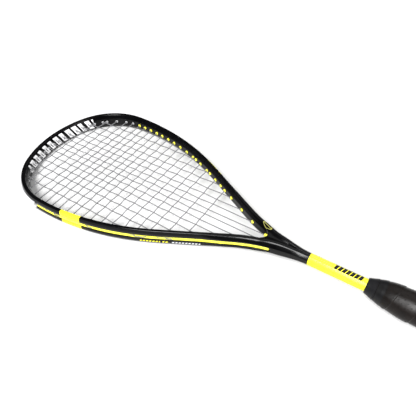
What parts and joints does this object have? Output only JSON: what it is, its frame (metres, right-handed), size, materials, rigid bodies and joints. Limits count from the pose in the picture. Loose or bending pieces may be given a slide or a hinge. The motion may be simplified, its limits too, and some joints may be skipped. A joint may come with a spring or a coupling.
{
  "type": "squash racket",
  "caption": "Squash racket: a strung teardrop hoop on a slim shaft, with a wrapped round grip and a butt cap, swung by hand to hit a ball.",
  "frame": {"origin": "centre of the butt's end face, on the shaft's axis", "axes": "+Y up the shaft to the tip of the head, +X to the right side of the hoop, +Z out of the string bed; the string bed lies in the plane z = 0"},
  "size_m": [0.2062, 0.686, 0.0356],
  "materials": {
    "hoop_paint": "gloss black lacquer over a moulded carbon fibre tube",
    "shaft_paint": "gloss yellow lacquer over moulded carbon fibre",
    "guard_plastic": "satin pale moulded nylon",
    "grommet_plastic": "satin yellow moulded nylon",
    "string_fibre": "satin grey synthetic multifilament",
    "pallet_foam": "rigid polyurethane foam with a skin",
    "grip_wrap": "black perforated synthetic grip",
    "tape_film": "thin black adhesive tape",
    "collar_rubber": "matt black rubber",
    "cap_plastic": "matt black moulded plastic",
    "staple_steel": "plated steel wire",
    "badge_plastic": "domed resin over a printed disc"
  },
  "bodies": {
    "root": {"frame_hoop": "hoop_paint", "throat_fork": "hoop_paint", "shaft_tube": "shaft_paint", "bumper_guard": "guard_plastic", "grommet_strip_left": "grommet_plastic", "grommet_strip_right": "grommet_plastic", "main_string": "string_fibre", "cross_string": "string_fibre", "handle_pallet": "pallet_foam", "grip_tape": "grip_wrap", "finishing_tape": "tape_film", "grip_collar": "collar_rubber", "butt_cap": "cap_plastic", "butt_cap_staples": "staple_steel", "butt_badge": "badge_plastic"}
  },
  "joints": []
}
